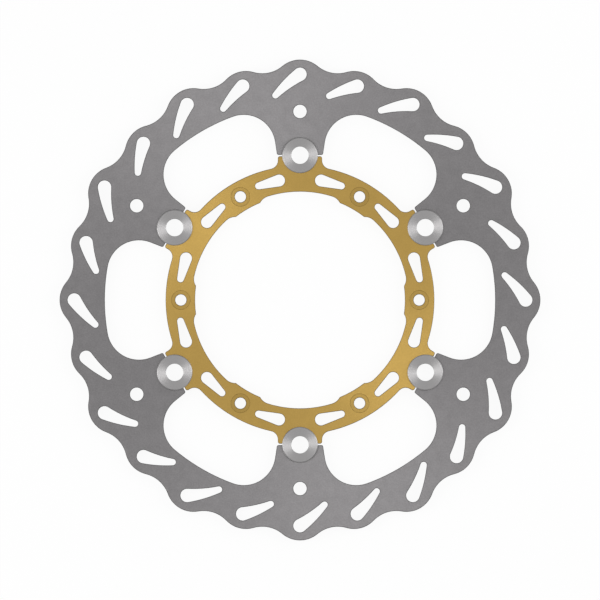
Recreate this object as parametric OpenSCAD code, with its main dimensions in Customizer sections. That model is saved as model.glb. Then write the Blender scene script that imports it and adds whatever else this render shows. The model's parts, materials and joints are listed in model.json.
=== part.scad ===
// Floating motorcycle brake disc: a waved steel blade, an alloy hub carrier and the hollow
// drive buttons that join them, each held from behind by a wave washer, a washer and a circlip.
// The axle runs along Z. The carrier's hub face lies on Z = 0, and +Z is the outer side.
// Headings are in degrees, clockwise from +Y as seen from the outer side.

/* [Friction blade] */
// Diameter over the big lobes
disc_d = 280; // [272:1:340]
// Blade thickness
blade_t = 3; // [2.5:0.1:4]
// Radial width of the friction band, from the big lobes' tips to the windows
band_w = 26.35; // [23:0.05:30]
// How much lower the small lobes stand than the big ones
lobe_step = 2.5; // [0:0.1:4]
// Radius of a lobe
lobe_r = 16; // [12:0.5:19]
// Radius of a valley between two lobes
valley_r = 18.25; // [14:0.25:26]

/* [Blade slots] */
// Radius of a slot's wide end
slot_wide_r = 3.9; // [2.4:0.1:4.6]
// Radius of a slot's narrow end
slot_narrow_r = 1.85; // [1:0.05:2.4]
// Distance from a lobe's tip to the centre of its slot's wide end
slot_wide_inset = 8.55; // [7:0.05:10]
// Distance from the big lobes' tip circle to the centres of the narrow ends
slot_narrow_inset = 19.95; // [17:0.05:21]
// How far round the disc a slot's narrow end lies behind its wide end, in degrees
slot_sweep = 6.85; // [4:0.05:9]
// Radius of the curve that a slot's centre line follows
slot_curve_r = 76; // [50:1:400]

/* [Blade arms] */
// Width of an arm across its foot
foot_w = 26.7; // [25.5:0.1:31]
// Lean of an arm's sides away from its centre line, in degrees
arm_flare = 8.75; // [0:0.25:14]
// Radius of the windows' outer corners
window_corner_r = 18.45; // [4:0.05:22]
// Radius of the corners of an arm's foot
foot_corner_r = 1; // [0.3:0.1:2.5]
// Radius of the hole in an arm
arm_hole_r = 3.9; // [2:0.1:5]
// Distance from the big lobes' tip circle to the centres of the arm holes
arm_hole_inset = 30.2; // [28:0.1:34]

/* [Hub carrier] */
// Diameter of the pilot bore, which centres the carrier on the hub
pilot_d = 122.2; // [108:0.1:147]
// Carrier thickness
carrier_t = 5; // [4.2:0.1:7]
// Radial width of the carrier's ring at a pilot pad
ring_w = 17.15; // [15.5:0.05:20]
// How far round a pilot pad reaches on each side of its bolt, in degrees
pad_half_angle = 7.7; // [5:0.1:10]
// Depth of the relief between two pilot pads
relief_depth = 2; // [0.8:0.1:3]
// Radius of the relief's corners
relief_corner_r = 7.45; // [4:0.05:12]
// Width of an ear
ear_w = 25.75; // [24.5:0.05:32]
// Radius of an ear's outer corners
ear_corner_r = 1.2; // [0.3:0.1:2]
// Radius of the fillet between an ear and the ring
ear_fillet_r = 5; // [2:0.1:8]

/* [Carrier slots] */
// Radius of a slot's wide end
carrier_slot_wide_r = 3.45; // [2:0.05:4]
// Radius of a slot's narrow end
carrier_slot_narrow_r = 1.95; // [1:0.05:2.5]
// Distance from the pilot bore to the slots' centre circle
carrier_slot_offset = 9.55; // [8.5:0.05:10.5]
// Heading of a slot's wide end from its ear, in degrees
carrier_slot_wide_angle = 9.95; // [8:0.05:11]
// Heading of a slot's narrow end from its ear, in degrees
carrier_slot_narrow_angle = 20; // [15:0.05:22]

/* [Hub bolts] */
// Distance from the pilot bore to the bolt circle
bolt_offset = 8.3; // [7:0.1:10]
// Diameter of a bolt hole
bolt_hole_d = 6.5; // [5:0.1:8.5]
// Diameter of the shallow seat round a bolt hole, which the bolt's head rests in
bolt_seat_d = 11; // [9:0.1:12]
// Depth of that seat
bolt_seat_depth = 0.3; // [0.1:0.05:1]
// Chamfer where a bolt hole opens into its seat
bolt_chamfer = 0.4; // [0.2:0.1:1]

/* [Drive buttons] */
// How far outside the carrier's ring a button stands
button_offset = 6.05; // [4.5:0.05:8]
// Diameter of a button's barrel
barrel_d = 15; // [13.5:0.1:18]
// Diameter of the bore through a button
button_bore_d = 10.1; // [6:0.1:11]
// How far a button's flange stands out past its barrel
flange_overhang = 2.9; // [1.5:0.1:3.2]
// Thickness of the flange next to the bore
flange_t = 1.6; // [1.2:0.1:3]
// How far the flange's face falls from the bore to the rim
flange_fall = 0.25; // [0:0.05:0.4]
// Chamfer round the flange's rim
rim_chamfer = 0.5; // [0.2:0.1:0.8]
// Chamfer at each mouth of the bore
bore_chamfer = 0.2; // [0.1:0.1:0.8]
// Length of barrel past the circlip groove
barrel_land = 0.9; // [0.5:0.1:2]

/* [Washers and circlips] */
// Height of a wave washer as fitted
wave_height = 0.8; // [0.5:0.05:1.2]
// Thickness of a wave washer
wave_t = 0.3; // [0.2:0.05:0.4]
// Radial width of a wave washer
wave_w = 2.1; // [1.2:0.1:2.6]
// Waves round a wave washer
wave_count = 3; // [2:1:4]
// Thickness of a flat washer
washer_t = 0.8; // [0.5:0.1:1.5]
// Radial width of a flat washer
washer_w = 2.35; // [1.5:0.05:3]
// Thickness of a circlip
circlip_t = 1; // [0.8:0.1:1.5]
// Radial width of a circlip opposite its gap
circlip_w = 2.2; // [1.6:0.1:3]
// Radial width of a circlip next to its lugs
circlip_end_w = 1.5; // [1.1:0.1:2]
// Width of the gap between the lugs
circlip_gap = 2.4; // [1.5:0.1:4]
// Radius of a lug
lug_r = 1.6; // [1.2:0.05:2]
// How far a lug reaches out from the circlip's inner edge
lug_reach = 3.6; // [3.2:0.1:4.4]
// Radius of the plier hole in a lug
lug_hole_r = 0.85; // [0.5:0.05:1]
// Depth of the circlip groove
groove_depth = 0.35; // [0.2:0.05:0.6]

/* [Fits] */
// Gap between an ear and the foot that faces it
float_gap = 0.8; // [0.4:0.1:1.4]
// How far the middle of that gap lies inside the circle of the buttons' axes
gap_inset = 0.2; // [0:0.05:0.6]
// Radial clearance of a barrel in its pocket
barrel_clearance = 0.08; // [0.02:0.01:0.1]
// Radial clearance of the washers round a barrel
washer_clearance = 0.15; // [0.05:0.05:0.4]
// Radial clearance of an ear's spot face round the washers and the circlip's lugs
spot_clearance = 0.25; // [0.2:0.05:1]
// Radial clearance of a circlip in its groove
clip_clearance = 0.05; // [0:0.01:0.1]
// Axial clearance of a circlip in its groove
groove_clearance = 0.1; // [0.05:0.05:0.3]

/* [Hidden] */
steel = [0.58, 0.57, 0.575];
gold = [0.72, 0.58, 0.27];
button_steel = [0.68, 0.68, 0.69];
spring_steel = [0.45, 0.45, 0.47];
$fn = 96;
cut = 1; // how far a cutting body runs past the face that it cuts
curve_tolerance = 0.02; // how far an outline's chords may lie inside its arcs
slot_side_steps = 6; // chords along each side of a bowed slot
wave_steps = 20; // steps of the strip in each wave of a wave washer
relief_run_on = 15; // how far round its corner a relief's outline goes on inside the bore, in degrees
lug_trim = 0.15; // how much of a lug the circlip's gap cuts off

arms = 6;
arm_pitch = 360 / arms;
lobes = 4 * arms;
lobe_pitch = 360 / lobes;

disc_r = disc_d / 2;
window_r = disc_r - band_w;
pilot_r = pilot_d / 2;
relief_r = pilot_r + relief_depth;
ring_r = pilot_r + ring_w;
bolt_circle_r = pilot_r + bolt_offset;
carrier_slot_r = pilot_r + carrier_slot_offset;
button_circle_r = ring_r + button_offset;
gap_r = button_circle_r - gap_inset;
ear_top = gap_r - float_gap / 2;
foot_edge = gap_r + float_gap / 2;

barrel_r = barrel_d / 2;
pocket_r = barrel_r + barrel_clearance;
flange_r = barrel_r + flange_overhang;
washer_bore_r = barrel_r + washer_clearance;
groove_r = barrel_r - groove_depth;
circlip_inner_r = groove_r + clip_clearance;
lug_tip_r = circlip_inner_r + lug_reach;
// The spot faces behind the carrier's ears clear the washers and, as a button turns, the circlip's lugs
spot_r = max(washer_bore_r + washer_w, lug_tip_r) + spot_clearance;

// Levels along the axle, from the outer side to the hub side
front = carrier_t;
flange_top = front + flange_t;
blade_back = front - blade_t;
wave_bottom = blade_back - wave_height;
washer_bottom = wave_bottom - washer_t;
circlip_bottom = washer_bottom - circlip_t;
barrel_end = circlip_bottom - barrel_land;

PIECES_AT_EACH_ARM = ["drive_button_", "wave_washer_", "flat_washer_", "circlip_"];

// ---- Points and outlines ----

function at(r, heading) = [r * sin(heading), r * cos(heading)];
function heading_of(v) = (atan2(v[0], v[1]) + 360) % 360;

// An arc about a centre, in chords that stay within the tolerance
function arc(centre, r, from, to) =
    let (chord = 2 * acos(1 - curve_tolerance / r), n = max(2, ceil(abs(to - from) / chord)))
    [for (i = [0:n]) centre + at(r, from + (to - from) * i / n)];

function without_first(points) = [for (i = [1:len(points) - 1]) points[i]];
function without_ends(points) = [for (i = [1:len(points) - 2]) points[i]];
function turned(points, heading) =
    [for (p = points) at(norm(p), heading_of(p) + heading)];
// The same points on the other side of a line through the axle, in reverse order
function mirrored(points, heading) =
    [for (i = [len(points) - 1:-1:0]) at(norm(points[i]), 2 * heading - heading_of(points[i]))];
function repeated(points, count) =
    [for (k = [0:count - 1]) each turned(points, k * 360 / count)];

// Where two circles of one radius about two centres cross, to the left of the way from a to b
function left_crossing(a, b, r) =
    (a + b) / 2 + at(sqrt(r * r - pow(norm(b - a) / 2, 2)), heading_of(b - a) - 90);

// A slot that narrows along a bowed centre line, as the outline of a circle that shrinks on its way.
// The bow is to the left of the way from the narrow end to the wide one.
function slot_outline(narrow, narrow_r, wide, wide_r, bow) =
    let (
        run = wide - narrow,
        length = norm(run),
        forward = heading_of(run),
        taper = asin((wide_r - narrow_r) / length),
        lean = atan(4 * bow / length),
        steps = bow > 0 ? slot_side_steps : 1,
        sides = [for (side = [1, -1]) [
            for (i = [1:steps - 1])
                let (
                    t = i / steps,
                    r = narrow_r + (wide_r - narrow_r) * t,
                    on_line = narrow + run * t + at(4 * bow * t * (1 - t), forward - 90)
                )
                on_line + at(r, forward - lean * (1 - 2 * t) + side * (90 + taper))
        ]]
    )
    concat(
        arc(wide, wide_r, forward + lean - 90 - taper, forward + lean + 90 + taper),
        [for (i = [len(sides[0]) - 1:-1:0]) sides[0][i]],
        arc(narrow, narrow_r, forward - lean + 90 + taper, forward - lean + 270 - taper),
        sides[1]
    );

// ---- Friction blade ----

big_lobe = at(disc_r - lobe_r, 0);
small_lobe = at(disc_r - lobe_step - lobe_r, lobe_pitch);
valley = left_crossing(big_lobe, small_lobe, lobe_r + valley_r);

// From the tip of a big lobe to the tip of the small one beside it
half_wave = concat(
    arc(big_lobe, lobe_r, 0, heading_of(valley - big_lobe)),
    without_first(arc(valley, valley_r, heading_of(big_lobe - valley), heading_of(small_lobe - valley))),
    without_first(arc(small_lobe, lobe_r, heading_of(valley - small_lobe) - 360, lobe_pitch))
);
wave_outline = repeated(concat(half_wave, without_ends(mirrored(half_wave, lobe_pitch))), lobes / 2);

// An arm's side starts at the foot corner and runs out along the flare, to the window's corner
foot_corner = [foot_w / 2, foot_edge];
side_way = at(1, arm_flare);
side_out = at(1, arm_flare + 90);
// The window's corner stays small enough to leave this much straight side
least_side = 2 * foot_corner_r;
widest_corner_r = (pow(foot_corner * side_way, 2) + pow(window_r, 2) - pow(norm(foot_corner), 2)
    - pow(least_side + foot_corner * side_way, 2)) / (2 * (foot_corner * side_out + window_r));
corner_r = min(window_corner_r, widest_corner_r);
corner_start = foot_corner + side_out * corner_r;
corner_along = -corner_start * side_way + sqrt(pow(corner_start * side_way, 2)
    - pow(norm(corner_start), 2) + pow(window_r - corner_r, 2));
window_corner = corner_start + side_way * corner_along;
foot_round = foot_corner + [-foot_corner_r * (1 - sin(arm_flare)) / cos(arm_flare), foot_corner_r];

// From an arm's foot to the middle of the window beside it
half_window = concat(
    arc(foot_round, foot_corner_r, 180, 90 + arm_flare),
    arc(window_corner, corner_r, 270 + arm_flare, 360 + heading_of(window_corner)),
    without_first(arc([0, 0], window_r, heading_of(window_corner), arm_pitch / 2))
);
opening_outline = repeated(concat(half_window, without_first(mirrored(half_window, arm_pitch / 2))), arms);

module blade_slot(tip_r) {
    wide = at(tip_r - slot_wide_inset, 0);
    narrow = at(disc_r - slot_narrow_inset, -slot_sweep);
    bow = pow(norm(wide - narrow), 2) / (8 * slot_curve_r);
    polygon(slot_outline(narrow, slot_narrow_r, wide, slot_wide_r, bow));
}

module rotor_blade() {
    color(steel)
    translate([0, 0, blade_back])
    linear_extrude(blade_t)
    difference() {
        polygon(wave_outline);
        polygon(opening_outline);
        for (k = [0:lobes - 1])
            rotate(-k * lobe_pitch) blade_slot(disc_r - (k % 2) * lobe_step);
        for (k = [0:arms - 1])
            rotate(-k * arm_pitch) {
                translate([0, disc_r - arm_hole_inset]) circle(arm_hole_r);
                translate([0, button_circle_r]) circle(pocket_r);
            }
    }
}

// ---- Hub carrier ----

ear_round = [ear_w / 2 - ear_corner_r, ear_top - ear_corner_r];
ear_fillet_x = ear_w / 2 + ear_fillet_r;
ear_fillet = [ear_fillet_x, sqrt(pow(ring_r + ear_fillet_r, 2) - pow(ear_fillet_x, 2))];

// From an ear to the middle of the ring's plain stretch beside it
half_carrier = concat(
    arc(ear_round, ear_corner_r, 0, 90),
    arc(ear_fillet, ear_fillet_r, 270, 180 + heading_of(ear_fillet)),
    without_first(arc([0, 0], ring_r, heading_of(ear_fillet), arm_pitch / 2))
);
carrier_outline = repeated(concat(half_carrier, without_first(mirrored(half_carrier, arm_pitch / 2))), arms);

// The relief's corner crosses the pilot bore at the pad's edge
pad_edge = arm_pitch / 2 - pad_half_angle;
relief_centre_r = relief_r - relief_corner_r;
relief_turn = acos((pow(relief_centre_r, 2) + pow(pilot_r, 2) - pow(relief_corner_r, 2))
    / (2 * relief_centre_r * pilot_r));
relief_corner = at(relief_centre_r, pad_edge - relief_turn);
relief_end = heading_of(at(pilot_r, pad_edge) - relief_corner) + relief_run_on;
half_relief = concat(
    arc([0, 0], relief_r, 0, pad_edge - relief_turn),
    without_first(arc(relief_corner, relief_corner_r, pad_edge - relief_turn, relief_end))
);
relief_outline = concat(mirrored(half_relief, 0), without_first(half_relief));

carrier_slot_outline = slot_outline(
    at(carrier_slot_r, carrier_slot_narrow_angle), carrier_slot_narrow_r,
    at(carrier_slot_r, carrier_slot_wide_angle), carrier_slot_wide_r,
    0
);

module carrier_plate() {
    linear_extrude(carrier_t)
    difference() {
        polygon(carrier_outline);
        circle(pilot_r);
        for (k = [0:arms - 1])
            rotate(-k * arm_pitch) {
                polygon(relief_outline);
                polygon(carrier_slot_outline);
                polygon(mirrored(carrier_slot_outline, 0));
                translate([0, button_circle_r]) circle(pocket_r);
            }
    }
}

module bolt_hole() {
    hole_r = bolt_hole_d / 2;
    seat_r = bolt_seat_d / 2;
    seat = carrier_t - bolt_seat_depth;
    rotate_extrude()
    polygon([
        [0, -cut],
        [hole_r, -cut],
        [hole_r, seat - bolt_chamfer],
        [hole_r + bolt_chamfer, seat],
        [seat_r, seat],
        [seat_r, carrier_t + cut],
        [0, carrier_t + cut]
    ]);
}

module hub_carrier() {
    color(gold)
    difference() {
        carrier_plate();
        for (k = [0:arms - 1]) {
            rotate(-k * arm_pitch) translate([0, button_circle_r, -cut])
                cylinder(r = spot_r, h = blade_back + cut);
            rotate(-(k + 0.5) * arm_pitch) translate([0, bolt_circle_r, 0]) bolt_hole();
        }
    }
}

// ---- Drive buttons and what holds them ----

module at_button(i) {
    rotate(-(i - 1) * arm_pitch) translate([0, button_circle_r, 0]) children();
}

module drive_button(i) {
    bore_r = button_bore_d / 2;
    rim_top = flange_top - flange_fall;
    color(button_steel)
    at_button(i)
    rotate_extrude()
    polygon([
        [bore_r, barrel_end + bore_chamfer],
        [bore_r + bore_chamfer, barrel_end],
        [barrel_r - bore_chamfer, barrel_end],
        [barrel_r, barrel_end + bore_chamfer],
        [barrel_r, circlip_bottom],
        [groove_r, circlip_bottom],
        [groove_r, washer_bottom + groove_clearance],
        [barrel_r, washer_bottom + groove_clearance],
        [barrel_r, front],
        [flange_r, front],
        [flange_r, rim_top - rim_chamfer],
        [flange_r - rim_chamfer, rim_top],
        [bore_r + bore_chamfer, flange_top],
        [bore_r, flange_top - bore_chamfer]
    ]);
}

module wave_washer(i) {
    steps = wave_steps * wave_count;
    amplitude = (wave_height - wave_t) / 2;
    // Four corners of the strip at each step: inner and outer below, outer and inner above
    points = [
        for (s = [0:steps - 1])
            let (
                heading = s * 360 / steps,
                low = wave_bottom + amplitude * (1 + cos(wave_count * heading)),
                inner = at(washer_bore_r, heading),
                outer = at(washer_bore_r + wave_w, heading)
            )
            each [
                [inner[0], inner[1], low],
                [outer[0], outer[1], low],
                [outer[0], outer[1], low + wave_t],
                [inner[0], inner[1], low + wave_t]
            ]
    ];
    faces = [
        for (s = [0:steps - 1], k = [0:3])
            let (this = 4 * s, next = 4 * ((s + 1) % steps), k2 = (k + 1) % 4)
            each [
                [this + k, this + k2, next + k2],
                [this + k, next + k2, next + k]
            ]
    ];
    color(spring_steel) at_button(i) polyhedron(points, faces);
}

module flat_washer(i) {
    color(steel)
    at_button(i)
    translate([0, 0, washer_bottom])
    linear_extrude(washer_t)
    difference() {
        circle(washer_bore_r + washer_w);
        circle(washer_bore_r);
    }
}

module circlip(i) {
    lug_x = circlip_gap / 2 + lug_r - lug_trim;
    lug_y = sqrt(pow(lug_tip_r - lug_r, 2) - pow(lug_x, 2));
    color(spring_steel)
    at_button(i)
    translate([0, 0, circlip_bottom])
    linear_extrude(circlip_t)
    difference() {
        union() {
            translate([0, (circlip_end_w - circlip_w) / 2])
                circle(circlip_inner_r + (circlip_w + circlip_end_w) / 2);
            for (side = [-1, 1]) translate([side * lug_x, lug_y]) circle(lug_r);
        }
        circle(circlip_inner_r);
        translate([-circlip_gap / 2, 0]) square([circlip_gap, 2 * barrel_r]);
        for (side = [-1, 1]) translate([side * lug_x, lug_y]) circle(lug_hole_r);
    }
}

rotor_blade();
hub_carrier();
for (i = [1:arms]) {
    drive_button(i);
    wave_washer(i);
    flat_washer(i);
    circlip(i);
}
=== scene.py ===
"""A floating wave brake disc: its finishes, edge breaks, wave springs, camera, light and floor."""

import json
import math

import bmesh
import bpy
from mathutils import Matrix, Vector


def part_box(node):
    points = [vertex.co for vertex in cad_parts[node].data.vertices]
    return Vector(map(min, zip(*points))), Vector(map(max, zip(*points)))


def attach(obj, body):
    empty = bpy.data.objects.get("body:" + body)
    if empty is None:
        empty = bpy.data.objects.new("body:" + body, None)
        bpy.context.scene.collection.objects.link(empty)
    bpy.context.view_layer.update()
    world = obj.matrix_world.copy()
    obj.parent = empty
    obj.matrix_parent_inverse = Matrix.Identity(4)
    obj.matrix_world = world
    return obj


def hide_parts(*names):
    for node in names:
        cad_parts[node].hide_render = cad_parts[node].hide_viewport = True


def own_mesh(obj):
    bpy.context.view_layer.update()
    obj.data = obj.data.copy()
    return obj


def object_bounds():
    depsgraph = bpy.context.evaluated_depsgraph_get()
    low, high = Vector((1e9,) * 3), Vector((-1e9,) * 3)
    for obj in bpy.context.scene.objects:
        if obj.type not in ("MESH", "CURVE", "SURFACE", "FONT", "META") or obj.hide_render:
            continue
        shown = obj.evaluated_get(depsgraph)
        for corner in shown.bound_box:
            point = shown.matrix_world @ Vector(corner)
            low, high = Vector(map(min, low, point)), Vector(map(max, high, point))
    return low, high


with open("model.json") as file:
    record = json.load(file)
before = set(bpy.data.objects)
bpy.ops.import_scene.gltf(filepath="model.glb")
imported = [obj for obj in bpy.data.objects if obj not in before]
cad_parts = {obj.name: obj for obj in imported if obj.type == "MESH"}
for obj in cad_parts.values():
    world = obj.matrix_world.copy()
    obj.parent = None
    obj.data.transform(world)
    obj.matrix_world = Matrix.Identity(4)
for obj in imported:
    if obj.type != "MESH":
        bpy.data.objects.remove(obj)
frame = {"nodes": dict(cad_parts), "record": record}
cad_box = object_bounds()

ARMS = 6
BUTTONS = range(1, ARMS + 1)
MM = 0.001


# ---------------------------------------------------------------- node helpers

def node(tree, kind, inputs=None, **settings):
    """A new shader node. inputs gives a value or a socket for each input, by its name or number."""
    made = tree.nodes.new(kind)
    for name, value in settings.items():
        setattr(made, name, value)
    for key, value in (inputs or {}).items():
        if isinstance(value, bpy.types.NodeSocket):
            tree.links.new(value, made.inputs[key])
        else:
            made.inputs[key].default_value = value
    return made


def maths(tree, operation, *values):
    """The result of a Math node."""
    return node(tree, "ShaderNodeMath", dict(enumerate(values)), operation=operation).outputs[0]


def vectors(tree, operation, *values):
    """The vector result of a Vector Math node."""
    return node(tree, "ShaderNodeVectorMath", dict(enumerate(values)), operation=operation).outputs[0]


def spread(tree, value, low, high, to_low, to_high):
    """value from low to high as a number from to_low to to_high, held at both ends."""
    inputs = {"Value": value, "From Min": low, "From Max": high, "To Min": to_low, "To Max": to_high}
    return node(tree, "ShaderNodeMapRange", inputs, clamp=True).outputs["Result"]


# Most of a noise lies between these values
NOISE_LOW = 0.3
NOISE_HIGH = 0.7


def noise(tree, place, size, detail=3.0):
    """A noise from 0 to 1 whose patches are about size metres across."""
    inputs = {"Vector": place, "Scale": 1 / size, "Detail": detail}
    return node(tree, "ShaderNodeTexNoise", inputs).outputs[0]


def noisy(tree, value, low, high):
    """A noise's value as a number from low to high."""
    return spread(tree, value, NOISE_LOW, NOISE_HIGH, low, high)


def tint(tree, colour, brightness):
    """colour times a brightness socket."""
    return vectors(tree, "SCALE", colour, (0, 0, 0), (0, 0, 0), brightness)


# ---------------------------------------------------------------- places on the part

def middle(name):
    """The middle of a CAD node's box."""
    low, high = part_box(name)
    return (low + high) / 2


def mount_sizes(name):
    """The sizes of one of the record's mounts, in millimetres."""
    return next(mount["dims"] for mount in frame["record"]["mounts"] if mount["name"] == name)


BUTTON_CIRCLE = middle("drive_button_1").y
BOLT_CIRCLE = mount_sizes("hub_bolts")["pcd_mm"] / 2 * MM
BOLT_HEADING = math.pi / ARMS
BOLT_SEAT_R = 5.5 * MM
SEAT_MARGIN = 0.1 * MM
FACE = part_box("rotor_blade")[1].z
# How upright a surface's normal is, along the axle, where a wall ends and where a flat face begins
WALL_UPRIGHT = 0.93
FACE_UPRIGHT = 0.985


def object_place(tree):
    """The point being shaded, in its own piece's frame, so that a finish moves with its piece."""
    return node(tree, "ShaderNodeTexCoord").outputs["Object"]


def flat_face(tree):
    """1 on a surface that lies square to the axle, 0 on one that leans by more than about 20 degrees."""
    normal = node(tree, "ShaderNodeTexCoord").outputs["Normal"]
    upright = node(tree, "ShaderNodeSeparateXYZ", {0: normal}).outputs["Z"]
    return spread(tree, maths(tree, "ABSOLUTE", upright), WALL_UPRIGHT, FACE_UPRIGHT, 0.0, 1.0)


def from_nearest(tree, place, circle, first):
    """The place measured from the nearest of the axes on a circle, of which one has the heading first."""
    x, y, z = node(tree, "ShaderNodeSeparateXYZ", {0: place}).outputs
    heading = maths(tree, "SUBTRACT", maths(tree, "ARCTAN2", x, y), first)
    pitch = 2 * math.pi / ARMS
    number = maths(tree, "ROUND", maths(tree, "DIVIDE", heading, pitch))
    own = maths(tree, "MULTIPLY_ADD", number, pitch, first)
    axis_x = maths(tree, "MULTIPLY", maths(tree, "SINE", own), circle)
    axis_y = maths(tree, "MULTIPLY", maths(tree, "COSINE", own), circle)
    axis = node(tree, "ShaderNodeCombineXYZ", {"X": axis_x, "Y": axis_y}).outputs[0]
    return vectors(tree, "SUBTRACT", place, axis)


def nearest_button(tree, place):
    """The place measured from the axis of whichever drive button is nearest."""
    return from_nearest(tree, place, BUTTON_CIRCLE, 0.0)


def distance_across(tree, place):
    """How far a place lies from the axis that it is measured from."""
    flat = vectors(tree, "MULTIPLY", place, (1, 1, 0))
    return node(tree, "ShaderNodeVectorMath", {0: flat}, operation="LENGTH").outputs["Value"]


def lay(tree, place, turn):
    """The world direction that highlights spread along: outwards from an axis, turned by turn degrees.

    Tool marks run square to it, so a turn of 0 stands for rings of marks round the axis."""
    outwards = vectors(tree, "NORMALIZE", vectors(tree, "MULTIPLY", place, (1, 1, 0)))
    turned = node(tree, "ShaderNodeVectorRotate", {"Vector": outwards, "Angle": -math.radians(turn)},
                  rotation_type="Z_AXIS")
    return node(tree, "ShaderNodeVectorTransform", {"Vector": turned.outputs[0]}, vector_type="VECTOR",
                convert_from="OBJECT", convert_to="WORLD").outputs[0]


def rings(tree, place, pitch):
    """A noise that changes only with the distance from an axis, in rings about pitch metres apart."""
    line = node(tree, "ShaderNodeCombineXYZ", {"X": distance_across(tree, place)}).outputs[0]
    return noise(tree, line, pitch, 2.0)


# ---------------------------------------------------------------- finishes

def metal(name, roughness, anisotropic, colour, lay_direction=None, height=None, depth=0.0):
    """A metal whose looks come from the functions colour, lay_direction and height, called with its tree."""
    material = bpy.data.materials.new(name)
    material.use_nodes = True
    tree = material.node_tree
    tree.nodes.clear()
    inputs = {"Metallic": 1.0, "Anisotropic": anisotropic, "Base Color": colour(tree), "Roughness": roughness(tree)}
    shader = node(tree, "ShaderNodeBsdfPrincipled", inputs)
    if lay_direction:
        tree.links.new(lay_direction(tree), shader.inputs["Tangent"])
    if height:
        bump = node(tree, "ShaderNodeBump", {"Height": height(tree), "Strength": 1.0, "Distance": depth})
        tree.links.new(bump.outputs[0], shader.inputs["Normal"])
    output = node(tree, "ShaderNodeOutputMaterial", {"Surface": shader.outputs[0]})
    output.is_active_output = True
    return material


def patches(tree, size, low, high):
    """A number from low to high that varies over a piece in patches about size metres across."""
    return noisy(tree, noise(tree, object_place(tree), size), low, high)


def grain(tree, size, share):
    """A brightness about 1 that varies by the given share in patches about size metres across."""
    return patches(tree, size, 1 - share, 1 + share)


def product(tree, *factors):
    """The product of sockets."""
    result = factors[0]
    for factor in factors[1:]:
        result = maths(tree, "MULTIPLY", result, factor)
    return result


def wall_tone_and_painted_light(tree, dark):
    """A brightness of 1 on flat faces, and dark on walls and edge breaks: below 1 that is their duller cut surface
    together with painted shade, above 1 a painted highlight.
    """
    return spread(tree, flat_face(tree), 0.0, 1.0, dark, 1.0)


def rough_wall(tree, roughness, wall):
    """The given roughness on flat faces, and another one on walls and edge breaks."""
    return spread(tree, flat_face(tree), 0.0, 1.0, wall, roughness)


def bolt_seat_painted_shade(tree, dark):
    """A brightness of 1, and dark inside the seats of the hub bolts: painted shade where the seats' own lay catches
    none of the lamps' highlights.
    """
    place = from_nearest(tree, object_place(tree), BOLT_CIRCLE, BOLT_HEADING)
    return spread(tree, distance_across(tree, place), BOLT_SEAT_R, BOLT_SEAT_R + SEAT_MARGIN, dark, 1.0)


BLADE_COLOUR = (0.215, 0.208, 0.211)
GOLD_COLOUR = (0.436, 0.284, 0.078)
BUTTON_COLOUR = (0.346, 0.339, 0.34)
WASHER_COLOUR = (0.36, 0.36, 0.37)
SPRING_COLOUR = (0.12, 0.12, 0.13)


def blade_steel():
    """Ground stainless steel: a fine speckle, with faint marks that cross the band nearly radially."""
    def colour(tree):
        speckle = grain(tree, size=0.8 * MM, share=0.075)
        clouds = grain(tree, size=6 * MM, share=0.04)
        # Walls and edge breaks are darkened to 0.45: their duller cut surface together with painted shade.
        return tint(tree, BLADE_COLOUR, product(tree, speckle, clouds, wall_tone_and_painted_light(tree, dark=0.45)))

    def roughness(tree):
        return rough_wall(tree, patches(tree, 0.5 * MM, low=0.53, high=0.6), wall=0.7)

    def direction(tree):
        return lay(tree, object_place(tree), turn=-83)

    def height(tree):
        return noise(tree, object_place(tree), 0.35 * MM, detail=4.0)

    return metal("blade_steel", roughness, 0.54, colour, direction, height, depth=0.004 * MM)


def gold_anodised():
    """Gold anodised aluminium: satin, with a faint cloudiness in the dye."""
    def colour(tree):
        speckle = grain(tree, size=0.6 * MM, share=0.05)
        clouds = grain(tree, size=9 * MM, share=0.03)
        # Walls and edge breaks are darkened as their duller cut surface together with painted shade, and the bolt
        # seats are darkened as painted shade.
        shading = product(tree, speckle, clouds, wall_tone_and_painted_light(tree, dark=0.5), bolt_seat_painted_shade(tree, dark=0.9))
        return tint(tree, GOLD_COLOUR, shading)

    def roughness(tree):
        return rough_wall(tree, patches(tree, 0.4 * MM, low=0.31, high=0.36), wall=0.65)

    def direction(tree):
        return lay(tree, object_place(tree), turn=-46)

    def height(tree):
        return noise(tree, object_place(tree), 0.25 * MM)

    return metal("gold_anodised", roughness, 0.67, colour, direction, height, depth=0.003 * MM)


def turned_steel(name, shade, rough, dark):
    """Steel turned on a lathe, with rings of tool marks round the nearest button's axis."""
    def colour(tree):
        place = nearest_button(tree, object_place(tree))
        marks = noisy(tree, rings(tree, place, pitch=0.22 * MM), 0.93, 1.07)
        speckle = grain(tree, size=0.6 * MM, share=0.03)
        # Walls and edge breaks are scaled by dark: below 1 their duller cut surface with painted shade, above 1 a
        # painted highlight.
        return tint(tree, shade, product(tree, marks, speckle, wall_tone_and_painted_light(tree, dark)))

    def roughness(tree):
        return patches(tree, 0.5 * MM, low=rough - 0.03, high=rough + 0.03)

    def direction(tree):
        return lay(tree, nearest_button(tree, object_place(tree)), turn=0)

    def height(tree):
        return rings(tree, nearest_button(tree, object_place(tree)), pitch=0.16 * MM)

    return metal(name, roughness, 0.8, colour, direction, height, depth=0.004 * MM)


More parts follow.
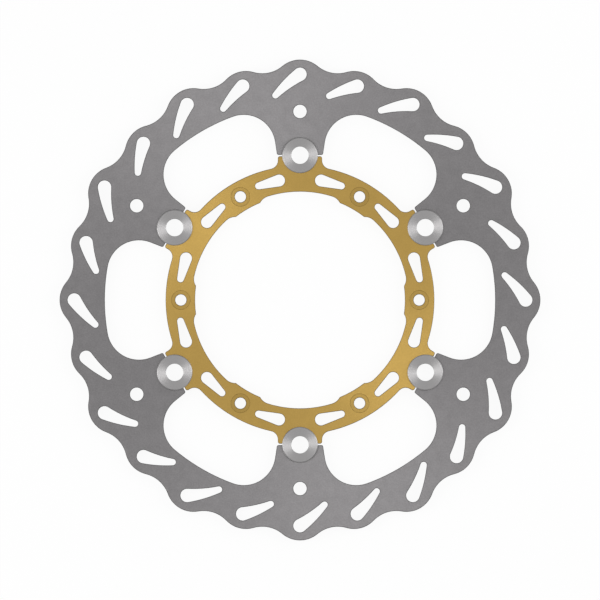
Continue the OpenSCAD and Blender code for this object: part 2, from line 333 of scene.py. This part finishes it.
FINISHES = {
    "rotor_blade": blade_steel(),
    "hub_carrier": gold_anodised(),
    # The buttons' walls and edge breaks are brightened as a painted highlight. The washers' and clips' are darkened
    # as their cut surface together with painted shade.
    "drive_button": turned_steel("button_steel", BUTTON_COLOUR, rough=0.43, dark=1.1),
    "flat_washer": turned_steel("washer_steel", WASHER_COLOUR, rough=0.33, dark=0.8),
    "circlip": turned_steel("spring_steel", SPRING_COLOUR, rough=0.4, dark=0.8),
}
PLATES = ("rotor_blade", "hub_carrier")
PLATE_BREAK = 0.42 * MM
SMALL_BREAK = 0.1 * MM
SEAT_BREAK_SHARE = 0.5
# An edge is broken where its faces meet at more than SHARP, and is taken off as flat below FLAT
SHARP = math.radians(35)
FLAT = math.radians(0.3)
SAME_LEVEL = 0.01 * MM
SAME_POINT = 1e-6


def kind_of(name):
    """A node's name without its number."""
    return name.rstrip("0123456789").rstrip("_")


def outline_edges(piece):
    """Marks, with a modifier, the sharp edges in a plate's two faces as the ones to break.

    Those of the hub bolts' seats are broken more lightly, as the seats are shallow."""
    levels = [corner.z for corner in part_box(piece.name)]
    group = bpy.data.node_groups.new(f"outline_edges_{piece.name}", "GeometryNodeTree")
    group.interface.new_socket("Geometry", in_out="INPUT", socket_type="NodeSocketGeometry")
    group.interface.new_socket("Geometry", in_out="OUTPUT", socket_type="NodeSocketGeometry")
    angle = node(group, "GeometryNodeInputMeshEdgeAngle").outputs["Unsigned Angle"]
    place = node(group, "GeometryNodeInputPosition").outputs[0]
    height = node(group, "ShaderNodeSeparateXYZ", {0: place}).outputs["Z"]
    in_face = maths(group, "ADD", *[maths(group, "COMPARE", height, level, SAME_LEVEL) for level in levels])
    from_bolt = distance_across(group, from_nearest(group, place, BOLT_CIRCLE, BOLT_HEADING))
    near, far = BOLT_SEAT_R + SEAT_MARGIN, BOLT_SEAT_R + 2 * SEAT_MARGIN
    lighter = spread(group, from_bolt, near, far, SEAT_BREAK_SHARE, 1.0)
    weight = product(group, maths(group, "GREATER_THAN", angle, SHARP), in_face, lighter)
    mesh = node(group, "NodeGroupInput").outputs[0]
    marked = node(group, "GeometryNodeStoreNamedAttribute",
                  {"Geometry": mesh, "Name": "bevel_weight_edge", "Value": weight},
                  data_type="FLOAT", domain="EDGE").outputs[0]
    node(group, "NodeGroupOutput", {0: marked})
    piece.modifiers.new("outline_edges", "NODES").node_group = group


def break_edges(piece):
    """Takes the sharp edges off a CAD node with modifiers, and shades it smoothly across them."""
    weld = piece.modifiers.new("weld", "WELD")
    weld.merge_threshold = SAME_POINT
    merge = piece.modifiers.new("flat_faces", "DECIMATE")
    merge.decimate_type = "DISSOLVE"
    merge.angle_limit = FLAT
    plate = piece.name in PLATES
    if plate:
        outline_edges(piece)
    bevel = piece.modifiers.new("edge_breaks", "BEVEL")
    bevel.width = PLATE_BREAK if plate else SMALL_BREAK
    bevel.segments = 2
    bevel.limit_method = "WEIGHT" if plate else "ANGLE"
    bevel.angle_limit = SHARP
    bevel.use_clamp_overlap = False
    bevel.loop_slide = False
    normals = piece.modifiers.new("normals", "WEIGHTED_NORMAL")
    normals.keep_sharp = False


for name, piece in frame["nodes"].items():
    kind = kind_of(name)
    if kind in FINISHES:
        piece.data.materials.clear()
        piece.data.materials.append(FINISHES[kind])
        break_edges(piece)


# ---------------------------------------------------------------- wave springs

WAVES = 3
SPRING_STEPS = 40 * WAVES
SPRING_T = 0.3 * MM
SPRING_WIDTH = 2.1 * MM
SPRING_EDGE = 0.06 * MM


def wave_spring(number):
    """A waved ring of flat wire, which replaces a CAD wave washer and rides with its button."""
    low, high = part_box(f"wave_washer_{number}")
    centre = middle(f"drive_button_{number}")
    outer = max(high.x - centre.x, high.y - centre.y)
    amplitude = (high.z - low.z - SPRING_T) / 2
    # The wire's section, from its inner lower corner round, with its corners taken off
    width, thick, edge = SPRING_WIDTH, SPRING_T, SPRING_EDGE
    section = [(edge, 0), (width - edge, 0), (width, edge), (width, thick - edge),
               (width - edge, thick), (edge, thick), (0, thick - edge), (0, edge)]
    mesh = bmesh.new()
    turns = []
    for step in range(SPRING_STEPS):
        heading = 2 * math.pi * step / SPRING_STEPS
        rise = amplitude * (1 + math.cos(WAVES * heading))
        turns.append([mesh.verts.new((centre.x + (outer - width + across) * math.sin(heading),
                                      centre.y + (outer - width + across) * math.cos(heading),
                                      low.z + rise + up)) for across, up in section])
    for step, turn in enumerate(turns):
        following = turns[(step + 1) % SPRING_STEPS]
        for k in range(len(section)):
            after = (k + 1) % len(section)
            mesh.faces.new((turn[k], following[k], following[after], turn[after]))
    bmesh.ops.recalc_face_normals(mesh, faces=mesh.faces)
    for face in mesh.faces:
        face.smooth = True
    data = bpy.data.meshes.new(f"wave_spring_{number}")
    mesh.to_mesh(data)
    mesh.free()
    data.materials.append(FINISHES["circlip"])
    spring = bpy.data.objects.new(data.name, data)
    bpy.context.scene.collection.objects.link(spring)
    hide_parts(f"wave_washer_{number}")
    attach(spring, f"button_{number}")
    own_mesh(spring)


for button in BUTTONS:
    wave_spring(button)


# ---------------------------------------------------------------- floor, light and camera

def lit_and_seen(tree, lit, seen, share):
    """The shader lit, mixed with a share of seen for rays from the camera, reflections and glass."""
    path = node(tree, "ShaderNodeLightPath")
    rays = maths(tree, "MAXIMUM", path.outputs["Is Camera Ray"], path.outputs["Is Glossy Ray"])
    rays = maths(tree, "MAXIMUM", rays, path.outputs["Is Transmission Ray"])
    mixed = maths(tree, "MULTIPLY", rays, share)
    return node(tree, "ShaderNodeMixShader", {0: mixed, 1: lit, 2: seen}).outputs[0]


FLOOR_REACH = 3.0
FLOOR_SEEN_SHARE = 0.93
WHITE = (1, 1, 1, 1)
FLOOR_PAINT = (0.9, 0.9, 0.9, 1)
FILL = 0.5
HORIZON = 0.4
FRAME_WIDTH = 0.34942
CAMERA_HEIGHT = 2.5
CAMERA_REACH = 20.0


def make_floor():
    """A plain pale floor that the barrels of the buttons stand on."""
    far = FLOOR_REACH
    mesh = bpy.data.meshes.new("floor")
    corners = [(-far, -far, 0), (far, -far, 0), (far, far, 0), (-far, far, 0)]
    mesh.from_pydata(corners, [], [(0, 1, 2, 3)])
    floor = bpy.data.objects.new("floor", mesh)
    floor.location.z = cad_box[0].z
    bpy.context.scene.collection.objects.link(floor)
    material = bpy.data.materials.new("floor")
    material.use_nodes = True
    tree = material.node_tree
    tree.nodes.clear()
    paint = node(tree, "ShaderNodeBsdfDiffuse", {"Color": FLOOR_PAINT}).outputs[0]
    white = node(tree, "ShaderNodeEmission", {"Color": WHITE, "Strength": 1.0}).outputs[0]
    node(tree, "ShaderNodeOutputMaterial", {"Surface": lit_and_seen(tree, paint, white, FLOOR_SEEN_SHARE)})
    mesh.materials.append(material)


def make_world():
    """A pale studio, white to the camera. Reflections see it white overhead and greyer towards the horizon."""
    world = bpy.data.worlds.new("studio")
    bpy.context.scene.world = world
    world.use_nodes = True
    tree = world.node_tree
    tree.nodes.clear()
    upwards = node(tree, "ShaderNodeSeparateXYZ", {0: node(tree, "ShaderNodeTexCoord").outputs["Generated"]})
    reflected = spread(tree, upwards.outputs["Z"], 0.0, 0.9, HORIZON, 1.0)
    level = maths(tree, "MAXIMUM", reflected, node(tree, "ShaderNodeLightPath").outputs["Is Camera Ray"])
    fill = node(tree, "ShaderNodeBackground", {"Color": WHITE, "Strength": FILL}).outputs[0]
    backdrop = node(tree, "ShaderNodeBackground", {"Color": WHITE, "Strength": level}).outputs[0]
    node(tree, "ShaderNodeOutputWorld", {"Surface": lit_and_seen(tree, fill, backdrop, 1.0)})


def make_softbox(name, azimuth, elevation, distance, width, height, power):
    """A soft lamp that faces the hub from an azimuth, clockwise from +Y, and an elevation, in degrees."""
    lamp = bpy.data.lights.new(name, "AREA")
    lamp.shape = "RECTANGLE"
    lamp.size = width
    lamp.size_y = height
    lamp.energy = power
    holder = bpy.data.objects.new(name, lamp)
    across = math.cos(math.radians(elevation)) * distance
    holder.location = (across * math.sin(math.radians(azimuth)), across * math.cos(math.radians(azimuth)),
                       math.sin(math.radians(elevation)) * distance)
    holder.rotation_euler = (-Vector(holder.location)).to_track_quat("-Z", "Y").to_euler()
    bpy.context.scene.collection.objects.link(holder)


def make_camera():
    """A far camera straight above the hub, with the first button at the top."""
    camera = bpy.data.cameras.new("camera")
    camera.type = "ORTHO"
    camera.ortho_scale = FRAME_WIDTH
    camera.clip_end = CAMERA_REACH
    holder = bpy.data.objects.new("camera", camera)
    holder.location = (0, 0, FACE + CAMERA_HEIGHT)
    bpy.context.scene.collection.objects.link(holder)
    bpy.context.scene.camera = holder


make_floor()
make_world()
for name, azimuth in (("softbox_right", 82), ("softbox_left", 262)):
    make_softbox(name, azimuth, elevation=38, distance=0.95, width=0.55, height=0.9, power=4.3)
make_camera()
bpy.context.scene.view_settings.view_transform = "Standard"
